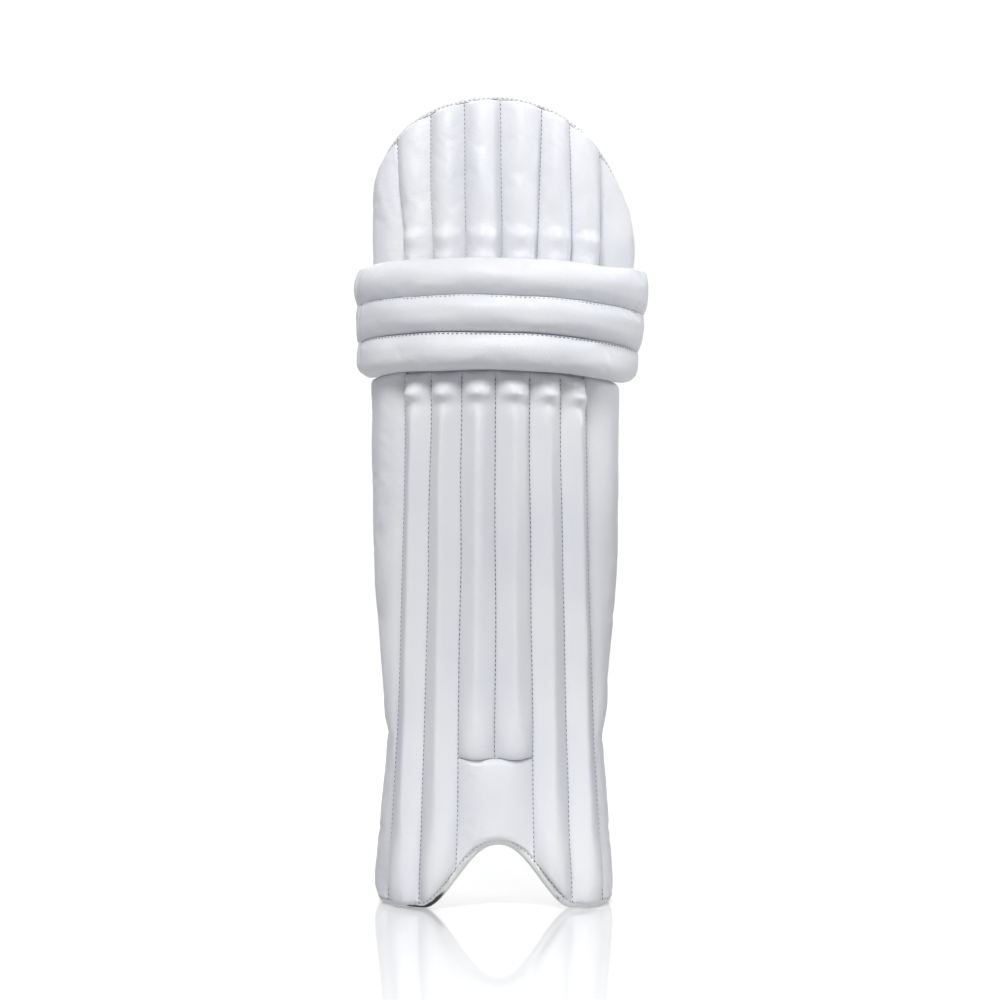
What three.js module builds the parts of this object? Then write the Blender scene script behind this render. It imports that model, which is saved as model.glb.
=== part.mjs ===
// A cricket batting pad for one leg, standing on the two lobes of its foot.
// Millimetres, +Z up, the front faces -Y, and +X is the right-hand side seen from the front.
//
// The pad is a sheet wrapped round the leg. A place on it has three numbers: along, the distance
// sideways from the centre line, measured on the sheet; height, above the floor; and out, the
// distance outwards from the outer face of the back panel, which every padded piece is sewn to.
import * as THREE from "three";

const { clamp, degToRad, lerp } = THREE.MathUtils;

// Driving dimensions
const CLEARANCE = 0.5; // between two sewn pieces
const PANEL_THICKNESS = 6;
const SEAM_THICKNESS = 2; // a padded piece where its cover is stitched down
const ROLLS_PER_HALF = 3; // rolls between the centre line and each outer seam
const EDGE_MARGIN = 9; // bare panel between the padding and the rim
const HAT_MARGIN = 11; // the same beside the hat, where the rim leans
const LEVEL_STEP = 30; // greatest height between two sections of a padded piece
const RIDGE_STEP = 40; // the same where a shin roll has its even ridge
const HAT_STEP = 23; // the same on the hat, which bends backwards

// Plan of the back panel at each height: an arc across the face, a tighter arc round each wing and
// a straight run to the wing's rear edge. Turns are the angle of the sheet at the end of its arc.
const SECTIONS = [
  { height: 0, centre: 0, front: -10, faceHalf: 97, faceTurn: 46, wingRadius: 26,
    leftTurn: 78, rightTurn: 92, leftWing: 46, rightWing: 46 },
  { height: 60, centre: 0, front: -7, faceHalf: 94, faceTurn: 47, wingRadius: 23,
    leftTurn: 82, rightTurn: 92, leftWing: 47, rightWing: 47 },
  { height: 155, centre: 0, front: -2.5, faceHalf: 90, faceTurn: 50, wingRadius: 21,
    leftTurn: 89, rightTurn: 93, leftWing: 51, rightWing: 51 },
  { height: 290, centre: 0, front: 0, faceHalf: 85, faceTurn: 49, wingRadius: 62,
    leftTurn: 96, rightTurn: 96, leftWing: 63, rightWing: 63 },
  { height: 430, centre: 0, front: 0, faceHalf: 82, faceTurn: 48, wingRadius: 80,
    leftTurn: 98, rightTurn: 98, leftWing: 64, rightWing: 64 },
  { height: 500, centre: 3.5, front: 0, faceHalf: 84, faceTurn: 46, wingRadius: 90,
    leftTurn: 94, rightTurn: 94, leftWing: 57, rightWing: 57 },
  { height: 545, centre: 5.5, front: 1.5, faceHalf: 86.5, faceTurn: 44, wingRadius: 115,
    leftTurn: 86, rightTurn: 86, leftWing: 47, rightWing: 47 },
  { height: 600, centre: 4.5, front: 6.5, faceHalf: 88, faceTurn: 42, wingRadius: 132,
    leftTurn: 76, rightTurn: 76, leftWing: 40, rightWing: 36 },
  { height: 663.5, centre: 4, front: 16, faceHalf: 88, faceTurn: 40.5, wingRadius: 140,
    leftTurn: 72, rightTurn: 72, leftWing: 38, rightWing: 28 },
];
const FOOT = SECTIONS[0];
const HAT = SECTIONS[SECTIONS.length - 1];

// Rim: a dome at the top, of two quarter superellipses cut off before they run upright, and two
// lobes either side of an arch at the foot
const DOME = { peak: -4, top: HAT.height, leftBase: 563, rightBase: 540, overrun: 4, power: 1.8 };
const ARCH = { rise: 53.5, half: 66 };
const HEEL_RADIUS = 24; // lower rear corner of each wing

// Knee: a stack of rolls laid across the face, bowed down towards their ends. The bow fades by a
// step from each seam to the one above it.
const KNEE = {
  bottom: 439.7, pitch: 30, thickness: 28, seat: 0.8, reach: 126, droop: 7.3, fade: 1.4, tilt: 2.4,
};
const KNEE_ROLLS = ["knee_roll_lower", "knee_roll_middle", "knee_roll_upper"];
// Outline of a knee roll's section: across is a share of half its pitch, out of its thickness
const KNEE_SECTION = [
  { across: -0.84, out: 0.1 },
  { across: -1, out: 0.36 },
  { across: -0.9, out: 0.68 },
  { across: -0.56, out: 0.92 },
  { across: 0, out: 1 },
  { across: 0.56, out: 0.92 },
  { across: 0.9, out: 0.68 },
  { across: 1, out: 0.36 },
  { across: 0.84, out: 0.1 },
];
const KNEE_BACK = [-0.7, 0, 0.7];
// Rounding of a knee roll's ends: inset along the roll and the share of the section left there
const KNEE_ENDS = [
  { inset: 0, share: 0.7 },
  { inset: 2.5, share: 0.9 },
  { inset: 8, share: 1 },
];
const KNEE_STEPS = 16;

// Padding along each kind of piece. A row is a section: up is its distance from the lower end,
// down from the upper end, share a fraction of the length; rise is the padding above the seam, and
// power shapes its crown, from about 1 for a sharp ridge to 3 for a flat pillow.
const SHIN_FOOT_END = [
  { up: 0, rise: 1.5, power: 2.4 },
  { up: 3, rise: 7, power: 2.4 },
  { up: 9, rise: 10.5, power: 2.2 },
  { up: 22, rise: 12.5, power: 2 },
  { up: 45, rise: 13, power: 1.5 },
  { up: 75, rise: 13, power: 1.1, step: RIDGE_STEP },
];
const SHIN_BLOCK_END = [
  { up: 0, rise: 1.5, power: 2.6 },
  { up: 2.5, rise: 7, power: 2.6 },
  { up: 8, rise: 11, power: 2.4 },
  { up: 20, rise: 12.5, power: 2.2 },
  { up: 36, rise: 13, power: 1.6 },
  { up: 56, rise: 13, power: 1.1, step: RIDGE_STEP },
];
const SHIN_KNOB = [
  { down: 58, rise: 13, power: 1.1 },
  { down: 36, rise: 12.2, power: 1.4 },
  { down: 27, rise: 11.4, power: 1.8 },
  { down: 21, rise: 12.6, power: 2 },
  { down: 14.5, rise: 14.5, power: 2.1 },
  { down: 8, rise: 12, power: 2.2 },
  { down: 3.5, rise: 7.5, power: 2.4 },
  { down: 0, rise: 1.5, power: 2.6 },
];
const HAT_ROLL = [
  { up: 0, rise: 2, power: 2.4 },
  { up: 5, rise: 7, power: 2.4 },
  { up: 17, rise: 9, power: 2.2 },
  { up: 24, rise: 12, power: 2 },
  { up: 32, rise: 11.2, power: 2, step: HAT_STEP },
  { share: 0.62, rise: 10.5, power: 2, step: HAT_STEP },
  { down: 10, rise: 9.2, power: 2 },
  { down: 2.5, rise: 5, power: 2.4 },
  { down: 0, rise: 1, power: 2.6 },
];
const HAT_SIDE = [
  { share: 0, rise: 2, power: 2.6 },
  { share: 0.06, rise: 6, power: 2.6 },
  { share: 0.25, rise: 8.5, power: 2.4 },
  { share: 0.6, rise: 8, power: 2.4 },
  { share: 0.88, rise: 6, power: 2.4 },
  { share: 0.97, rise: 3.5, power: 2.6 },
  { share: 1, rise: 1, power: 2.6 },
];
const WING = [
  { up: 0, rise: 0.5, power: 3 },
  { up: 20, rise: 1.2, power: 3 },
  { up: 90, rise: 1.5, power: 3 },
  { up: 132, rise: 2, power: 3 },
  { up: 144, rise: 4.5, power: 3 },
  { up: 160, rise: 6, power: 3 },
  { up: 200, rise: 7.5, power: 2.8 },
  { up: 250, rise: 9, power: 2.8 },
  { share: 0.8, rise: 10, power: 2.8 },
  { down: 25, rise: 10.5, power: 2.8 },
  { down: 8, rise: 9, power: 2.8 },
  { down: 2.5, rise: 5, power: 2.8 },
  { down: 0, rise: 1.5, power: 3 },
];
const INSTEP = [
  { share: 0, rise: 1, power: 3 },
  { share: 0.05, rise: 3.5, power: 3 },
  { share: 0.18, rise: 6, power: 2.8 },
  { share: 0.5, rise: 7.5, power: 2.8 },
  { share: 0.82, rise: 8.5, power: 2.8 },
  { share: 0.95, rise: 6.5, power: 2.8 },
  { share: 1, rise: 1.5, power: 3 },
];
const INSTEP_TOP = 122;

// Binding: a tape folded over the rim, in the plane across it. In is towards the panel.
const TAPE = { lip: 4.5, thickness: 1.5, clearance: 0.9 };

// Straps: webbing sewn inside the wings' rear edges and closed behind the leg
const STRAP = { width: 38, thickness: 2.5, overlap: 28, reach: 58, steps: 12 };
const STRAP_HEIGHTS = { strap_ankle: 150, strap_calf: 326, strap_knee: 476 };

const FINISHES = {
  facing: new THREE.MeshStandardMaterial({ color: 0xe6e7eb, roughness: 0.5, metalness: 0 }),
  lining: new THREE.MeshStandardMaterial({ color: 0xd9d8d4, roughness: 0.9, metalness: 0 }),
  tape: new THREE.MeshStandardMaterial({ color: 0xeeeeec, roughness: 0.65, metalness: 0 }),
  webbing: new THREE.MeshStandardMaterial({ color: 0xe2e2e0, roughness: 0.85, metalness: 0 }),
};

const spaced = (from, to, count) => (
  Array.from({ length: count + 1 }, (_, i) => lerp(from, to, i / count)));

// The sheet

// Slope of a column at a row, which keeps the curve through the rows from overshooting
function slopeAt(row, column) {
  if (row === 0) return 0;
  const [below, here, above] = [SECTIONS[row - 1], SECTIONS[row], SECTIONS[row + 1]];
  const before = (here[column] - below[column]) / (here.height - below.height);
  if (!above) return before;
  const after = (above[column] - here[column]) / (above.height - here.height);
  return before * after > 0 ? (2 * before * after) / (before + after) : 0;
}

// All columns of the plan at a height, on a smooth curve through the rows
function sectionAt(height) {
  const z = clamp(height, FOOT.height, HAT.height);
  const upper = Math.max(1, SECTIONS.findIndex((row) => row.height >= z));
  const [below, above] = [SECTIONS[upper - 1], SECTIONS[upper]];
  const span = above.height - below.height;
  const t = (z - below.height) / span;
  const section = {};
  for (const column of Object.keys(below)) {
    const rise = above[column] - below[column];
    const start = slopeAt(upper - 1, column) * span;
    const end = slopeAt(upper, column) * span;
    section[column] = below[column] + start * t
      + (3 * rise - 2 * start - end) * t * t + (start + end - 2 * rise) * t * t * t;
  }
  return section;
}

// A place on the outer face of the back panel
function facePoint(along, height) {
  const section = sectionAt(height);
  const [side, wingTurn] = along < 0 ? [-1, section.leftTurn] : [1, section.rightTurn];
  const faceTurn = degToRad(section.faceTurn);
  const faceRadius = section.faceHalf / faceTurn;
  const onFace = Math.min(Math.abs(along), section.faceHalf);
  const onWing = Math.abs(along) - onFace;
  const bend = Math.min(onWing, section.wingRadius * (degToRad(wingTurn) - faceTurn));
  const straight = onWing - bend;
  const start = onFace / faceRadius;
  const turn = start + bend / section.wingRadius;
  const x = faceRadius * Math.sin(start)
    + section.wingRadius * (Math.sin(turn) - Math.sin(start)) + straight * Math.cos(turn);
  const y = faceRadius * (1 - Math.cos(start))
    + section.wingRadius * (Math.cos(start) - Math.cos(turn)) + straight * Math.sin(turn);
  return new THREE.Vector3(section.centre + side * x, section.front + y, height);
}

// Outward direction of the sheet, across the lines sideways and upwards through a place
function outwardAt(along, height) {
  const step = 0.5;
  const sideways = facePoint(along + step, height).sub(facePoint(along - step, height));
  const upwards = facePoint(along, height + step).sub(facePoint(along, height - step));
  return sideways.cross(upwards).normalize();
}

function sheetPoint(along, height, out) {
  return facePoint(along, height).addScaledVector(outwardAt(along, height), out);
}

const leftEdge = (height) => -sectionAt(height).faceHalf - sectionAt(height).leftWing;
const rightEdge = (height) => sectionAt(height).faceHalf + sectionAt(height).rightWing;

// Height of the rim above a place along the foot: an arch between two lobes, and rounded heels
function footRim(along) {
  const fromCentre = Math.abs(along);
  const heel = fromCentre - (rightEdge(0) - HEEL_RADIUS);
  if (heel > 0) {
    return HEEL_RADIUS - Math.sqrt(Math.max(0, HEEL_RADIUS ** 2 - heel ** 2));
  }
  return ARCH.rise * (1 - THREE.MathUtils.smoothstep(fromCentre, 0, ARCH.half));
}

// Height of the dome's rim above a place along the hat
function domeRim(along) {
  const [base, end] = along < DOME.peak
    ? [DOME.leftBase, leftEdge(HAT.height) - DOME.overrun]
    : [DOME.rightBase, rightEdge(HAT.height) + DOME.overrun];
  const share = clamp((along - DOME.peak) / (end - DOME.peak), 0, 1);
  return base + (DOME.top - base) * (1 - share ** DOME.power) ** (1 / DOME.power);
}

// Height of a seam of the knee rolls at a place along it
function kneeSeam(index, along) {
  const share = along / KNEE.reach;
  const drop = (KNEE.droop - KNEE.fade * index) * share * share + KNEE.tilt * share;
  return KNEE.bottom + KNEE.pitch * index - drop;
}

// Solids

function signedVolume(positions, triangles) {
  let sum = 0;
  for (let i = 0; i < triangles.length; i += 3) {
    const [a, b, c] = [0, 1, 2].map((k) => positions[triangles[i + k]]);
    sum += a.dot(b.clone().cross(c)) / 6;
  }
  return sum;
}

// A closed solid through a row of sections. Each section has a front line and a back line of
// points in the same direction, and the front line has a whole multiple of the back line's steps.
// Each quad between two sections is split along its shorter diagonal.
function loft(sections) {
  const fronts = sections[0].front.length;
  const backs = sections[0].back.length;
  const ringSize = fronts + backs;
  const positions = sections.flatMap(({ front, back }) => [...front, ...[...back].reverse()]);
  const triangles = [];
  for (let s = 0; s < sections.length - 1; s++) {
    for (let i = 0; i < ringSize; i++) {
      const [a, b] = [s * ringSize + i, s * ringSize + ((i + 1) % ringSize)];
      const [c, d] = [b + ringSize, a + ringSize];
      const acrossFirst = positions[a].distanceTo(positions[c]) < positions[b].distanceTo(positions[d]);
      triangles.push(...(acrossFirst ? [a, b, c, a, c, d] : [a, b, d, b, c, d]));
    }
  }
  const stepsPerBack = (fronts - 1) / (backs - 1);
  const cap = (ring, turned) => {
    const add = (a, b, c) => triangles.push(...(turned ? [ring + a, ring + b, ring + c]
      : [ring + a, ring + c, ring + b]));
    const backIndex = (k) => ringSize - 1 - k;
    for (let k = 0; k < backs - 1; k++) {
      for (let i = k * stepsPerBack; i < (k + 1) * stepsPerBack; i++) add(i, i + 1, backIndex(k));
      add((k + 1) * stepsPerBack, backIndex(k + 1), backIndex(k));
    }
  };
  cap(0, false);
  cap((sections.length - 1) * ringSize, true);
  if (signedVolume(positions, triangles) < 0) triangles.reverse();
  const geometry = new THREE.BufferGeometry().setFromPoints(positions).setIndex(triangles);
  geometry.computeVertexNormals();
  return geometry;
}

// Height of a section between the two ends of a piece
function heightOf(section, low, high) {
  if (section.up !== undefined) return low + section.up;
  if (section.down !== undefined) return high - section.down;
  return lerp(low, high, section.share);
}

// Levels of a piece: its rows, and as many between two rows as keep the steps short
function levelsBetween(rows, low, high) {
  const levels = rows.slice(0, -1).flatMap((row, i) => {
    const next = rows[i + 1];
    const length = heightOf(next, low, high) - heightOf(row, low, high);
    const count = Math.ceil(length / (row.step ?? LEVEL_STEP));
    return Array.from({ length: count }, (_, k) => ({ row, next, t: k / count }));
  });
  const last = rows[rows.length - 1];
  return [...levels, { row: last, next: last, t: 0 }];
}

// A piece of the sheet between two side lines and two ends. The side lines are functions of the
// height, the ends functions of the place along, measured where their own end of the piece lies.
function patch({ left, right, bottom, top, lowHeight, highHeight, rows, steps, backSteps, outer, inner }) {
  const alongAt = (share, height) => lerp(left(height), right(height), share);
  const ends = (share) => [bottom(alongAt(share, lowHeight)), top(alongAt(share, highHeight))];
  const line = ({ row, next, t }, count, out) => Array.from({ length: count + 1 }, (_, i) => {
    const share = i / count;
    const [low, high] = ends(share);
    const height = lerp(heightOf(row, low, high), heightOf(next, low, high), t);
    const profile = { rise: lerp(row.rise, next.rise, t), power: lerp(row.power, next.power, t) };
    return sheetPoint(alongAt(share, height), height, out(profile, share));
  });
  return loft(levelsBetween(rows, ...ends(0.5)).map((level) => ({
    front: line(level, steps, outer),
    back: line(level, backSteps, inner),
  })));
}

// Padding over the panel, crowned across from seam to seam
function padding(shape) {
  const crown = (power, share) => 1 - Math.abs(2 * share - 1) ** power;
  return patch({
    ...shape,
    left: (height) => shape.left(height) + CLEARANCE / 2,
    right: (height) => shape.right(height) - CLEARANCE / 2,
    outer: ({ rise, power }, share) => CLEARANCE + SEAM_THICKNESS + rise * crown(power, share),
    inner: () => CLEARANCE,
  });
}

// Pieces

const pad = new THREE.Group();

function addPiece(name, geometry, finish) {
  const mesh = new THREE.Mesh(geometry, finish);
  mesh.name = name;
  pad.add(mesh);
}

const seamLine = (third) => (height) => (sectionAt(height).faceHalf * third) / ROLLS_PER_HALF;
// Upright distance that leaves the margin square to a rim of this slope
const marginAt = (rim, along) => EDGE_MARGIN * Math.hypot(1, rim(along + 0.5) - rim(along - 0.5));
const paddedFoot = (along) => footRim(along) + marginAt(footRim, along);
const paddedDome = (along) => domeRim(along) - marginAt(domeRim, along);
const underKnee = (along) => kneeSeam(0, along) - CLEARANCE;
const aboveKnee = (along) => kneeSeam(KNEE_ROLLS.length, along) + CLEARANCE;

// Grid of the back panel: shares across from the left edge, closer together at both edges, and
// shares up from the foot, closer together where the plan changes above the knee
const PANEL_COLUMNS = spaced(0, 1, 30).map((t) => t - (0.3 * Math.sin(2 * Math.PI * t)) / (2 * Math.PI));
const PANEL_LEVELS = [
  ...spaced(0, 0.72, 12), ...spaced(0.72, 1, 10).slice(1),
];

function panelPlace(across, up) {
  const alongAt = (height) => lerp(leftEdge(height), rightEdge(height), across);
  const height = lerp(footRim(alongAt(FOOT.height)), domeRim(alongAt(HAT.height)), up);
  return { along: alongAt(height), height };
}

function addBackPanel() {
  const line = (up, out) => PANEL_COLUMNS.map((across) => {
    const { along, height } = panelPlace(across, up);
    return sheetPoint(along, height, out);
  });
  addPiece("back_panel", loft(PANEL_LEVELS.map((up) => ({
    front: line(up, 0), back: line(up, -PANEL_THICKNESS),
  }))), FINISHES.lining);
}

// Six rolls down the shin. The middle pair stop at the instep block, and the rest reach the foot.
function addShinRolls() {
  for (let roll = 0; roll < 2 * ROLLS_PER_HALF; roll++) {
    const third = roll - ROLLS_PER_HALF;
    const stopsAtBlock = third === -1 || third === 0;
    addPiece(`shin_roll_${roll + 1}`, padding({
      left: seamLine(third), right: seamLine(third + 1),
      bottom: stopsAtBlock ? () => INSTEP_TOP + CLEARANCE : paddedFoot, top: underKnee,
      lowHeight: stopsAtBlock ? INSTEP_TOP : FOOT.height, highHeight: KNEE.bottom,
      rows: [...(stopsAtBlock ? SHIN_BLOCK_END : SHIN_FOOT_END), ...SHIN_KNOB],
      steps: 6, backSteps: 2,
    }), FINISHES.facing);
  }
}

function addInstepBlock() {
  addPiece("instep_block", padding({
    left: seamLine(-1), right: seamLine(1), bottom: paddedFoot, top: () => INSTEP_TOP,
    lowHeight: FOOT.height, highHeight: INSTEP_TOP, rows: INSTEP, steps: 8, backSteps: 4,
  }), FINISHES.facing);
}

function addWings() {
  const shape = {
    bottom: paddedFoot, top: underKnee, lowHeight: FOOT.height, highHeight: KNEE.bottom,
    rows: WING, steps: 6, backSteps: 6,
  };
  const rear = EDGE_MARGIN;
  addPiece("wing_left", padding({
    ...shape, left: (height) => leftEdge(height) + rear, right: seamLine(-ROLLS_PER_HALF),
  }), FINISHES.facing);
  addPiece("wing_right", padding({
    ...shape, left: seamLine(ROLLS_PER_HALF), right: (height) => rightEdge(height) - rear,
  }), FINISHES.facing);
}

function addKneeRolls() {
  const middles = Array.from({ length: KNEE_STEPS - 1 }, (_, i) => ({
    along: lerp(-KNEE.reach, KNEE.reach, (i + 1) / KNEE_STEPS), share: 1,
  }));
  const ends = (side) => KNEE_ENDS.map(({ inset, share }) => ({
    along: side * (KNEE.reach - inset), share,
  }));
  const stations = [...ends(-1), ...middles, ...ends(1).reverse()];
  KNEE_ROLLS.forEach((name, index) => {
    const point = (station, across, out) => {
      const [low, high] = [kneeSeam(index, station.along), kneeSeam(index + 1, station.along)];
      const [centre, half] = [(low + high) / 2, (high - low - CLEARANCE) / 2];
      return sheetPoint(station.along, centre + half * station.share * across, KNEE.seat + out);
    };
    addPiece(name, loft(stations.map((station) => ({
      front: KNEE_SECTION.map(({ across, out }) => (
        point(station, across, out * KNEE.thickness * station.share))),
      back: KNEE_BACK.map((across) => point(station, across, 0)),
    }))), FINISHES.facing);
  });
}

// Six rolls up the hat and a softer panel at each side
function addHatRolls() {
  const shape = {
    bottom: aboveKnee, top: paddedDome, lowHeight: DOME.rightBase, highHeight: HAT.height,
  };
  const rolls = 2 * ROLLS_PER_HALF;
  for (let roll = 0; roll < rolls; roll++) {
    const third = roll - ROLLS_PER_HALF;
    addPiece(`hat_roll_${roll + 2}`, padding({
      ...shape, left: seamLine(third), right: seamLine(third + 1),
      rows: HAT_ROLL, steps: 6, backSteps: 2,
    }), FINISHES.facing);
  }
  const sides = { ...shape, rows: HAT_SIDE, steps: 6, backSteps: 6 };
  addPiece("hat_roll_1", padding({
    ...sides, left: (height) => leftEdge(height) + HAT_MARGIN, right: seamLine(-ROLLS_PER_HALF),
  }), FINISHES.facing);
  addPiece(`hat_roll_${rolls + 2}`, padding({
    ...sides, left: seamLine(ROLLS_PER_HALF), right: (height) => rightEdge(height) - HAT_MARGIN,
  }), FINISHES.facing);
}

// The rim, once round from the left heel by way of the foot: its middle, its direction, the outward
// side of the sheet and the way off the panel
function rimStations() {
  const places = [
    ...PANEL_COLUMNS.map((across) => panelPlace(across, 0)),
    ...PANEL_LEVELS.slice(1).map((up) => panelPlace(1, up)),
    ...[...PANEL_COLUMNS].reverse().slice(1).map((across) => panelPlace(across, 1)),
    ...[...PANEL_LEVELS].reverse().slice(1).map((up) => panelPlace(0, up)),
  ];
  const middles = places.map(({ along, height }) => sheetPoint(along, height, -PANEL_THICKNESS / 2));
  const count = places.length - 1;
  return places.map(({ along, height }, i) => {
    const forward = middles[(i + 1) % count].clone().sub(middles[(i + count - 1) % count]).normalize();
    const outward = outwardAt(along, height);
    const away = forward.clone().cross(outward).normalize();
    return { middle: middles[i], forward, outward, away };
  });
}

// Tape folded over a stretch of the rim, as a U-shaped section with a lip on each face
function foldedTape(stations) {
  const inside = { nose: TAPE.clearance, half: PANEL_THICKNESS / 2 + TAPE.clearance };
  const outside = { nose: inside.nose + TAPE.thickness, half: inside.half + TAPE.thickness };
  return loft(stations.map(({ middle, forward, outward, away }, i) => {
    const shortening = { 0: CLEARANCE / 2, [stations.length - 1]: -CLEARANCE / 2 }[i] ?? 0;
    const point = (across, out) => middle.clone().addScaledVector(forward, shortening)
      .addScaledVector(away, across).addScaledVector(outward, out);
    const line = ({ nose, half }) => [
      point(-TAPE.lip, half), point(nose, half), point(nose, -half), point(-TAPE.lip, -half),
    ];
    return { front: line(outside), back: line(inside) };
  }));
}

function addBindings() {
  const rim = rimStations();
  const [columns, levels] = [PANEL_COLUMNS.length - 1, PANEL_LEVELS.length - 1];
  const stretches = {
    foot_binding: columns, wing_binding_right: levels, hat_binding: columns, wing_binding_left: levels,
  };
  let start = 0;
  for (const [name, steps] of Object.entries(stretches)) {
    addPiece(name, foldedTape(rim.slice(start, start + steps + 1)), FINISHES.tape);
    start += steps;
  }
}

// Centre line of a strap at one height: along the inside of a wing, round behind the leg and back
function strapLine(height) {
  const tape = TAPE.clearance + TAPE.thickness;
  const out = -PANEL_THICKNESS - tape - CLEARANCE - STRAP.thickness / 2;
  const lap = (edge, side) => [STRAP.overlap, STRAP.overlap / 2, 0].map((inset) => (
    sheetPoint(edge - side * inset, height, out)));
  const left = lap(leftEdge(height), -1);
  const right = lap(rightEdge(height), 1);
  const beyond = ([, inner, end]) => (
    end.clone().addScaledVector(end.clone().sub(inner).normalize(), STRAP.reach));
  const behind = new THREE.CubicBezierCurve3(left[2], beyond(left), beyond(right), right[2]);
  return [...left.slice(0, 2), ...behind.getPoints(STRAP.steps), ...right.slice(0, 2).reverse()];
}

function addStraps() {
  const up = new THREE.Vector3(0, 0, 1);
  for (const [name, height] of Object.entries(STRAP_HEIGHTS)) {
    const lines = [-0.5, 0.5].map((share) => strapLine(height + share * STRAP.width));
    const faces = lines.map((line) => line.map((place, i) => {
      const ahead = line[Math.min(line.length - 1, i + 1)].clone();
      const across = ahead.sub(line[Math.max(0, i - 1)]).cross(up).normalize();
      return [0.5, -0.5].map((share) => (
        place.clone().addScaledVector(across, share * STRAP.thickness)));
    }));
    const sections = lines[0].map((_, i) => ({
      front: faces.map((face) => face[i][0]),
      back: faces.map((face) => face[i][1]),
    }));
    addPiece(name, loft(sections), FINISHES.webbing);
  }
}

addBackPanel();
addShinRolls();
addInstepBlock();
addWings();
addKneeRolls();
addHatRolls();
addBindings();
addStraps();

// The origin is on the floor, under the middle of the pad's outline
const box = new THREE.Box3().setFromObject(pad);
const middle = box.getCenter(new THREE.Vector3());
pad.position.set(-middle.x, -middle.y, -box.min.z);

const battingPad = new THREE.Group();
battingPad.add(pad);
export default battingPad;
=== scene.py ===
import bpy
import numpy as np
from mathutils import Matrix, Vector


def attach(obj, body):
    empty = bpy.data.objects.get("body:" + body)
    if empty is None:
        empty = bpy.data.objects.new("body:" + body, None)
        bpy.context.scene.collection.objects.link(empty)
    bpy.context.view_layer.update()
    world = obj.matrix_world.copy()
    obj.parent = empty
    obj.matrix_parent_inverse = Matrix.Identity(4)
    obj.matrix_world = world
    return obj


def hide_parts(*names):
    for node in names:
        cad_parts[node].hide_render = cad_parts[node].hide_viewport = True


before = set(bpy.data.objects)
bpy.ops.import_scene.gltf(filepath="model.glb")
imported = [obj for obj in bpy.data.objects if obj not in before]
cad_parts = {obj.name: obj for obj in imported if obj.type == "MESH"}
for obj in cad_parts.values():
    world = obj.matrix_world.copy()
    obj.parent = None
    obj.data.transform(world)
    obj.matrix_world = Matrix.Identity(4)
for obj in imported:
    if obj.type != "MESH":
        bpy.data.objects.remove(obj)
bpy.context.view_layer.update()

# Back panel
# A padded sheet wrapped round the leg, which every other piece is sewn to. Its outside is white
# coated cloth and its inside a woven cotton lining, quilted where the seams come through.
# Places on it are in millimetres: along from the centre line, height, and out from its outer face.
PLAN = {
    "height": (0, 60, 155, 290, 430, 500, 545, 600, 663.5),
    "centre": (0, 0, 0, 0, 0, 3.5, 5.5, 4.5, 4),
    "front": (-10, -7, -2.5, 0, 0, 0, 1.5, 6.5, 16),
    "face_half": (97, 94, 90, 85, 82, 84, 86.5, 88, 88),
    "face_turn": (46, 47, 50, 49, 48, 46, 44, 42, 40.5),
    "wing_radius": (26, 23, 21, 62, 80, 92, 145, 150, 145),
    "left_turn": (78, 82, 89, 96, 98, 94, 86, 76, 72),
    "right_turn": (92, 92, 93, 96, 98, 94, 86, 76, 72),
    "left_wing": (46, 47, 51, 63, 64, 57, 47, 40, 38),
    "right_wing": (46, 47, 51, 63, 64, 57, 50, 37, 28),
}
STAND = np.array((-3.364, -53.890, 2.405))  # the sheet's own origin, from the point on the floor
PANEL_THICKNESS = 6.0
FOOT, HAT = PLAN["height"][0], PLAN["height"][-1]
DOME = {"peak": -4, "top": 667, "left": 571, "right": 535, "overrun": 4, "power": 1.95}
ARCH = {"rise": 53.5, "half": 66, "centre": 2.4, "flatness": 1.2}
HEEL_RADIUS = 24
WAVES = {"count": 6, "turn": 2.4, "rate": 0.7, "gain": 0.13, "shift": 1.7, "seed_shift": 3.1}


def curve(xs, ys, at):
    """A smooth line through the rows of a table, which doesn't overshoot them."""
    xs, ys = np.asarray(xs, float), np.asarray(ys, float)
    steps = np.diff(xs)
    rises = np.diff(ys) / steps
    both = rises[:-1] * rises[1:]
    sums = np.where(both > 0, rises[:-1] + rises[1:], 1)
    slopes = np.concatenate(([0], np.where(both > 0, 2 * both / sums, 0), rises[-1:]))
    at = np.clip(at, xs[0], xs[-1])
    row = np.clip(np.searchsorted(xs, at) - 1, 0, len(steps) - 1)
    t = (at - xs[row]) / steps[row]
    start, end, rise = slopes[row] * steps[row], slopes[row + 1] * steps[row], np.diff(ys)[row]
    return ys[row] + t * (start + t * (3 * rise - 2 * start - end + t * (start + end - 2 * rise)))


def plan(column, height):
    return curve(PLAN["height"], PLAN[column], height)


def face_point(along, height):
    """A place on the panel's outer face: an arc over the shin, a tighter arc and a straight wing."""
    face_half, face_turn = plan("face_half", height), np.radians(plan("face_turn", height))
    wing_turn = np.radians(np.where(along < 0, plan("left_turn", height), plan("right_turn", height)))
    wing_radius = plan("wing_radius", height)
    face_radius = face_half / face_turn
    on_face = np.minimum(np.abs(along), face_half)
    on_wing = np.abs(along) - on_face
    bend = np.minimum(on_wing, wing_radius * (wing_turn - face_turn))
    straight = on_wing - bend
    start = on_face / face_radius
    turn = start + bend / wing_radius
    x = (face_radius * np.sin(start) + wing_radius * (np.sin(turn) - np.sin(start))
         + straight * np.cos(turn))
    y = (face_radius * (1 - np.cos(start)) + wing_radius * (np.cos(start) - np.cos(turn))
         + straight * np.sin(turn))
    return np.stack((plan("centre", height) + np.where(along < 0, -x, x), plan("front", height) + y,
                     height + 0 * along), axis=-1)


def unit(vectors):
    return vectors / np.linalg.norm(vectors, axis=-1, keepdims=True)


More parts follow.
